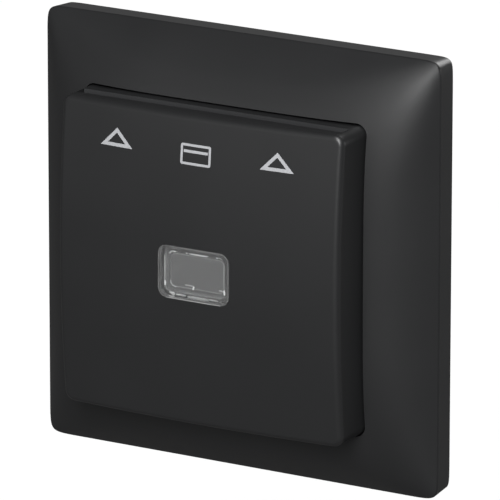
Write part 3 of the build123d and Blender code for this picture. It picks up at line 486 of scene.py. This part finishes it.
def dress(piece, material):
    """Gives a piece one material."""
    piece.data.materials.clear()
    piece.data.materials.append(material)


def dress_nodes(material, *names):
    for name in names:
        dress(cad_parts[name], material)


def new_object(name, form):
    """Makes an object of a finished bmesh."""
    mesh = bpy.data.meshes.new(name)
    form.to_mesh(mesh)
    form.free()
    made = bpy.data.objects.new(name, mesh)
    bpy.context.scene.collection.objects.link(made)
    return made


def new_piece(name, form, material):
    """Makes a piece of a finished bmesh, which rides with the switch."""
    bmesh.ops.recalc_face_normals(form, faces=form.faces)
    piece = new_object(name, form)
    dress(piece, material)
    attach(piece, MAIN_BODY)


def join_rings(form, first, second):
    """Closes the wall between two rings of as many points."""
    for place in range(len(first)):
        after = (place + 1) % len(first)
        form.faces.new((first[place], first[after], second[after], second[place]))


def add_box(form, low, high, bevel):
    """A box between two corners, its edges bevelled."""
    bmesh.ops.create_cube(form, size=1.0)
    for vert in form.verts:
        vert.co = [low[axis] + (high[axis] - low[axis]) * (0.5 + vert.co[axis]) for axis in range(3)]
    bmesh.ops.bevel(form, geom=list(form.edges), offset=bevel, segments=2, affect="EDGES")


def add_bead(form, points, depth, thick, width, closed=False):
    """A flat rounded bead along points in a plane that faces the viewer, in millimetres."""
    rings = []
    count = len(points)
    for place in range(count):
        before = points[place - 1] if closed or place else points[0]
        after = points[(place + 1) % count] if closed or place < count - 1 else points[-1]
        way = (after - before).normalized()
        side = Vector((-way.y, way.x))
        taper = 1.0 if closed or 0 < place < count - 1 else BEAD_END_SHARE
        ring = []
        for step in range(BEAD_SIDES):
            turn = 2 * math.pi * step / BEAD_SIDES
            flat = points[place] + side * math.cos(turn) * taper * width / 2
            level = thick / 2 - depth - thick / 2 * math.sin(turn)
            ring.append(form.verts.new(Vector((flat.x, level, flat.y)) * MM))
        rings.append(ring)
    for place in range(count if closed else count - 1):
        join_rings(form, rings[place], rings[(place + 1) % count])
    if not closed:
        form.faces.new(rings[0])
        form.faces.new(reversed(rings[-1]))


def bend(start, corner, end, steps):
    """Points from start to end on a curve that heads for the corner."""
    shares = [step / steps for step in range(steps + 1)]
    return [start * (1 - share) ** 2 + corner * 2 * share * (1 - share) + end * share ** 2
            for share in shares]


def painted_highlight_points(points):
    """A mark's points: three are the ends and the corner of a bend, and two are a straight line."""
    points = [Vector(point) for point in points]
    if len(points) == 3:
        return bend(*points, BEND_STEPS)
    return [points[0].lerp(points[1], step / LINE_STEPS) for step in range(LINE_STEPS + 1)]


def box_corners(half_wide, half_high, level):
    return ((-half_wide, level - half_high), (half_wide, level - half_high),
            (half_wide, level + half_high), (-half_wide, level + half_high))


def rounded_outline(corners, inward, radius, steps):
    """A closed outline inset from corners that run anticlockwise, its own corners rounded."""
    count = len(corners)
    sides = []
    for place in range(count):
        here, there = Vector(corners[place]), Vector(corners[(place + 1) % count])
        way = (there - here).normalized()
        normal = Vector((-way.y, way.x))
        sides.append((here + normal * inward, way))
    points = []
    for place in range(count):
        (first, before), (second, after) = sides[place - 1], sides[place]
        corner = first + before * (second - first).cross(after) / before.cross(after)
        reach = radius * math.tan(before.angle(after) / 2)
        points += bend(corner - before * reach, corner, corner + after * reach, steps)
    return points


def towards(azimuth, elevation):
    """The direction to a lamp or a camera, from angles in radians."""
    return Vector((math.sin(azimuth) * math.cos(elevation), -math.cos(azimuth) * math.cos(elevation),
                   math.sin(elevation)))


def add_lamp(name, azimuth, elevation, distance, width, height, radiance):
    """A soft box that faces the object."""
    light = bpy.data.lights.new(name, "AREA")
    light.shape = "RECTANGLE"
    light.size = width
    light.size_y = height
    light.energy = radiance * math.pi * width * height
    lamp = bpy.data.objects.new(name, light)
    way = towards(math.radians(azimuth), math.radians(elevation))
    lamp.location = way * distance
    lamp.rotation_mode = "QUATERNION"
    lamp.rotation_quaternion = way.to_track_quat("Z", "Y")
    bpy.context.scene.collection.objects.link(lamp)


class CARDSWITCH_OT_stage(bpy.types.Operator):
    """Make the floor, the lights, the world and the camera"""
    bl_idname = "cardswitch.stage"
    bl_label = "Stage"

    def execute(self, context):
        settings = context.scene.card_switch_stage
        scene = context.scene
        scene.view_settings.view_transform = "Standard"
        self.make_world(scene, settings)
        self.make_floor(settings)
        for row in LAMPS:
            add_lamp(*row)
        self.make_camera(scene, settings)
        return {"FINISHED"}

    def make_world(self, scene, settings):
        """A nearly dark room, which the camera sees as white."""
        scene.world = bpy.data.worlds.new("studio")
        nodes = Nodes(scene.world, "ShaderNodeOutputWorld")
        room = nodes.node("ShaderNodeBackground", Color=grey(1.0), Strength=settings.fill)
        white = nodes.node("ShaderNodeBackground", Color=grey(1.0), Strength=1.0)
        nodes.show(nodes.mix_shaders(nodes.background_share(settings.mirror_share), room, white))

    def make_floor(self, settings):
        """A pale floor that keeps the object's shadow, and that gives little light back."""
        form = bmesh.new()
        bmesh.ops.create_grid(form, x_segments=2, y_segments=2, size=FLOOR_SIZE)
        floor = new_object("floor", form)
        floor.location.z = CAD_LOW.z - settings.floor_drop
        nodes = Finish("floor_white")
        lit = nodes.node("ShaderNodeBsdfDiffuse", Color=grey(settings.floor_lit))
        glow = nodes.node("ShaderNodeEmission", Color=grey(1.0), Strength=settings.floor_glow)
        dull = nodes.node("ShaderNodeBsdfDiffuse", Color=grey(settings.floor_dull))
        seen = nodes.mix_shaders(settings.floor_glow_share, lit, glow)
        nodes.show(nodes.mix_shaders(nodes.background_share(settings.mirror_share), dull, seen))
        dress(floor, nodes.material)

    def make_camera(self, scene, settings):
        camera = bpy.data.objects.new("camera", bpy.data.cameras.new("camera"))
        camera.data.lens = settings.focal
        camera.data.sensor_width = SENSOR_WIDTH
        camera.data.clip_start = CAMERA_NEAR
        camera.data.clip_end = CAMERA_FAR
        back = towards(settings.azimuth, settings.elevation)
        right = Vector((math.cos(settings.azimuth), math.sin(settings.azimuth), 0.0))
        up = back.cross(right)
        rolled_right = right * math.cos(settings.roll) + up * math.sin(settings.roll)
        rolled_up = up * math.cos(settings.roll) - right * math.sin(settings.roll)
        turn = Matrix((rolled_right, rolled_up, back)).transposed().to_4x4()
        camera.matrix_world = Matrix.Translation(Vector(settings.aim) + back * settings.distance) @ turn
        scene.collection.objects.link(camera)
        scene.camera = camera


class CARDSWITCH_OT_cover(bpy.types.Operator):
    """Dress the card cover, its pocket and the frame, and lay a plate painted lighter than the cover, as
    painted light, over the slot's back wall
    """
    bl_idname = "cardswitch.cover"
    bl_label = "Cover and frame"

    def execute(self, context):
        plastic = context.scene.card_switch_plastic
        inner_roughness = plastic.black_roughness + plastic.inner_matt
        black = black_plastic(plastic, "cover_black", plastic.black_roughness)
        dress_nodes(black, "card_cover", "cover_frame")
        dress_nodes(black_plastic(plastic, "inner_black", inner_roughness), "pocket_back")
        # A thin plate on the slot's back wall whose lighter colour is painted light
        form = bmesh.new()
        low, high = (Vector(corner) * MM for corner in SLOT_WALL)
        add_box(form, low, high, SLOT_WALL_BEVEL * MM)
        material = black_plastic(plastic, "slot_wall_painted_light_black", inner_roughness, plastic.slot_wall_painted_light)
        new_piece("slot_wall_painted_light_strip", form, material)
        return {"FINISHED"}


class CARDSWITCH_OT_lens(bpy.types.Operator):
    """Dress the lens, the plate behind it and the lamp, and make the beads of painted highlight along the
    lens's edges, and its seal
    """
    bl_idname = "cardswitch.lens"
    bl_label = "Lens and lamp"

    def execute(self, context):
        plastic = context.scene.card_switch_plastic
        dress_nodes(clear_plastic("clear_lens", 0.02, plastic.lens_clear), "lens")
        dress_nodes(moulded_plastic(plastic, "lens_plate", plastic.plate, 0.55), "lens_plate", "diffuser")
        dress_nodes(clear_plastic("lamp_body", 0.25), "lamp")
        painted_highlights = {"bright": moulded_plastic(plastic, "painted_highlight_bright", plastic.painted_highlight_bright, 0.3),
                 "mid": moulded_plastic(plastic, "painted_highlight_mid", plastic.painted_highlight_mid, 0.3),
                 "dim": moulded_plastic(plastic, "painted_highlight_dim", plastic.painted_highlight_dim, 0.3)}
        # Each bead sits on an edge or step of the moulding, and its colour is a painted highlight or
        # reflection in one of three tones
        for name, tone, depth, thick, width, points in LENS_PAINTED_HIGHLIGHTS:
            form = bmesh.new()
            add_bead(form, painted_highlight_points(points), depth, thick, width)
            new_piece("lens_" + name, form, painted_highlights[tone])
        level = (LENS_LOW.z + LENS_HIGH.z) / 2 / MM
        # Painted highlight lines round the lens and its plate, in the dim painted highlight colour
        for name, low, high, margin, radius, proud, width in PAINTED_EDGE_HIGHLIGHTS:
            half_wide, half_high = (high.x - low.x) / 2 / MM - margin, (high.z - low.z) / 2 / MM - margin
            outline = rounded_outline(box_corners(half_wide, half_high, level), 0, radius, LENS_CORNER_STEPS)
            form = bmesh.new()
            add_bead(form, outline, proud - low.y / MM, EDGE_THICK, width, closed=True)
            new_piece(name, form, painted_highlights["dim"])
        self.make_seal(plastic, level)
        return {"FINISHED"}

    def make_seal(self, plastic, level):
        """The seal behind the lens's rim: a flat frame with rounded corners."""
        form = bmesh.new()
        rings = []
        for half_wide, half_high, radius, behind in SEAL_OUTLINES:
            outline = rounded_outline(box_corners(half_wide, half_high, level), 0, radius, LENS_CORNER_STEPS)
            across = LENS_HIGH.y / MM + behind
            rings.append([form.verts.new(Vector((point.x, across, point.y)) * MM) for point in outline])
        for first, second in zip(rings, rings[1:] + rings[:1]):
            join_rings(form, first, second)
        material = moulded_plastic(plastic, "seal_grey", plastic.seal, 0.6)
        new_piece("lens_seal", form, material)


class CARDSWITCH_OT_print(bpy.types.Operator):
    """Print the arrows and the card sign on the cover's front"""
    bl_idname = "cardswitch.print"
    bl_label = "Printed marks"

    def execute(self, context):
        ink = context.scene.card_switch_print
        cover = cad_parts["card_cover"]
        surface = BVHTree.FromPolygons([vert.co.copy() for vert in cover.data.vertices],
                                       [list(face.vertices) for face in cover.data.polygons])
        material = screen_ink(ink, "screen_ink")
        for side, name in ((-1, "arrow_left"), (1, "arrow_right")):
            middle, half = side * ink.arrow_across + ink.arrow_shift, ink.arrow_width / 2
            corners = ((middle - half, ink.arrow_foot), (middle + half, ink.arrow_foot),
                       (middle, ink.arrow_foot + ink.arrow_height))
            form = bmesh.new()
            self.line(form, surface, ink, corners, ARROW_CORNER, ink.stroke)
            new_piece(name, form, material)
        form = bmesh.new()
        half_wide, half_high = ink.card_width / 2, ink.card_height / 2
        line_width = ink.stroke * CARD_LINE_SHARE
        corners = box_corners(half_wide, half_high, ink.card_level)
        self.line(form, surface, ink, corners, line_width, line_width)
        stripe_level = ink.card_level + half_high * STRIPE_LEVEL_SHARE
        corners = box_corners(half_wide - ink.stroke, ink.stroke * STRIPE_HALF_SHARE, stripe_level)
        self.stripe(form, surface, ink, corners)
        new_piece("card_sign", form, material)
        return {"FINISHED"}

    def on_cover(self, surface, point, proud):
        """The place on the cover's front that lies straight behind a point, and a little proud of it."""
        start = Vector((point.x, CAD_LOW.y - RAY_START, point.y))
        hit = surface.ray_cast(start, Vector((0, 1, 0)))[0]
        if hit is None:
            raise RuntimeError("a printed mark misses the cover")
        return hit - Vector((0, proud, 0))

    def line(self, form, surface, ink, corners, radius, width):
        """A closed printed line along the inside of an outline."""
        outer = rounded_outline(corners, 0, radius, PRINT_CORNER_STEPS)
        inner = rounded_outline(corners, width, radius * INNER_CORNER_SHARE, PRINT_CORNER_STEPS)
        rings = []
        for points, proud in ((outer, -ink.thickness), (outer, ink.thickness), (inner, ink.thickness),
                              (inner, -ink.thickness)):
            ring = []
            for place, here in enumerate(points):
                there = points[(place + 1) % len(points)]
                # The last point of each corner starts a side, which follows the dome in steps
                starts_side = (place + 1) % (PRINT_CORNER_STEPS + 1) == 0
                count = PRINT_SIDE_STEPS if starts_side else 1
                ring.extend(form.verts.new(self.on_cover(surface, here.lerp(there, step / count), proud))
                            for step in range(count))
            rings.append(ring)
        for first, second in zip(rings, rings[1:] + rings[:1]):
            join_rings(form, first, second)

    def stripe(self, form, surface, ink, corners):
        """A printed bar."""
        low_left, low_right, high_right, high_left = (Vector(corner) for corner in corners)
        rings = []
        for step in range(STRIPE_STEPS + 1):
            low = low_left.lerp(low_right, step / STRIPE_STEPS)
            high = high_left.lerp(high_right, step / STRIPE_STEPS)
            rings.append([form.verts.new(self.on_cover(surface, point, proud))
                          for point, proud in ((low, -ink.thickness), (low, ink.thickness),
                                               (high, ink.thickness), (high, -ink.thickness))])
        for first, second in zip(rings, rings[1:]):
            join_rings(form, first, second)
        form.faces.new(rings[0])
        form.faces.new(reversed(rings[-1]))


class CARDSWITCH_OT_insert(bpy.types.Operator):
    """Dress the pieces of the insert"""
    bl_idname = "cardswitch.insert"
    bl_label = "Insert"

    def execute(self, context):
        plastic = context.scene.card_switch_plastic
        metal = context.scene.card_switch_metal
        dress_nodes(moulded_plastic(plastic, "base_grey", plastic.base_grey, 0.5), "switch_base")
        dress_nodes(moulded_plastic(plastic, "lid_white", plastic.lid_white, 0.45), "base_lid", "lamp_foot")
        dress_nodes(moulded_plastic(plastic, "acetal", plastic.acetal, 0.3), "card_lever", "plunger")
        release_grey = shade(plastic.base_grey, plastic.release_shade)
        dress_nodes(moulded_plastic(plastic, "release_grey", release_grey, 0.45),
                    "release_lever_left", "release_lever_right")
        dress_nodes(plated_metal("ring_zinc", metal.zinc, 0.34, streak=(1.0, 1.0, 0.08)), "support_ring")
        dress_nodes(plated_metal("claw_zinc", metal.zinc, 0.38), "claw_left", "claw_right")
        dress_nodes(plated_metal("screw_zinc", metal.zinc, 0.28, streak=(1.0, 0.1, 1.0)),
                    "claw_screw_left", "claw_screw_right")
        dress_nodes(plated_metal("spring_steel", metal.spring, 0.3), "plunger_spring", "contact_spring",
                    "wire_clamps", "lever_pin", "arm_pin")
        dress_nodes(plated_metal("brass", metal.brass, 0.3), "terminal_live", "terminal_load",
                    "contact_arm", "lamp_pins")
        dress_nodes(plated_metal("silver", metal.silver, 0.25), "moving_contact", "fixed_contact")
        return {"FINISHED"}


class CARDSWITCH_PT_panel(bpy.types.Panel):
    """Lists the steps that dress the switch, and their settings"""
    bl_idname = "CARDSWITCH_PT_panel"
    bl_label = "Card switch"
    bl_space_type = "VIEW_3D"
    bl_region_type = "UI"
    bl_category = "Card Switch"

    def draw(self, context):
        for step in STEPS:
            self.layout.operator(step.bl_idname)
        for name in SETTINGS:
            group = getattr(context.scene, name)
            for setting in group.__annotations__:
                self.layout.prop(group, setting)


SETTINGS = {
    "card_switch_plastic": PlasticSettings,
    "card_switch_metal": MetalSettings,
    "card_switch_print": PrintSettings,
    "card_switch_stage": StageSettings,
}
STEPS = (CARDSWITCH_OT_stage, CARDSWITCH_OT_cover, CARDSWITCH_OT_lens, CARDSWITCH_OT_print,
         CARDSWITCH_OT_insert)
CLASSES = (*SETTINGS.values(), *STEPS, CARDSWITCH_PT_panel)


def register():
    for cls in CLASSES:
        bpy.utils.register_class(cls)
    for name, group in SETTINGS.items():
        setattr(bpy.types.Scene, name, bpy.props.PointerProperty(type=group))


def unregister():
    for name in SETTINGS:
        delattr(bpy.types.Scene, name)
    for cls in reversed(CLASSES):
        bpy.utils.unregister_class(cls)


def main():
    register()
    for step in STEPS:
        area, name = step.bl_idname.split(".")
        if getattr(getattr(bpy.ops, area), name)() != {"FINISHED"}:
            raise RuntimeError(step.bl_label + " did not finish")


if __name__ == "__main__":
    main()
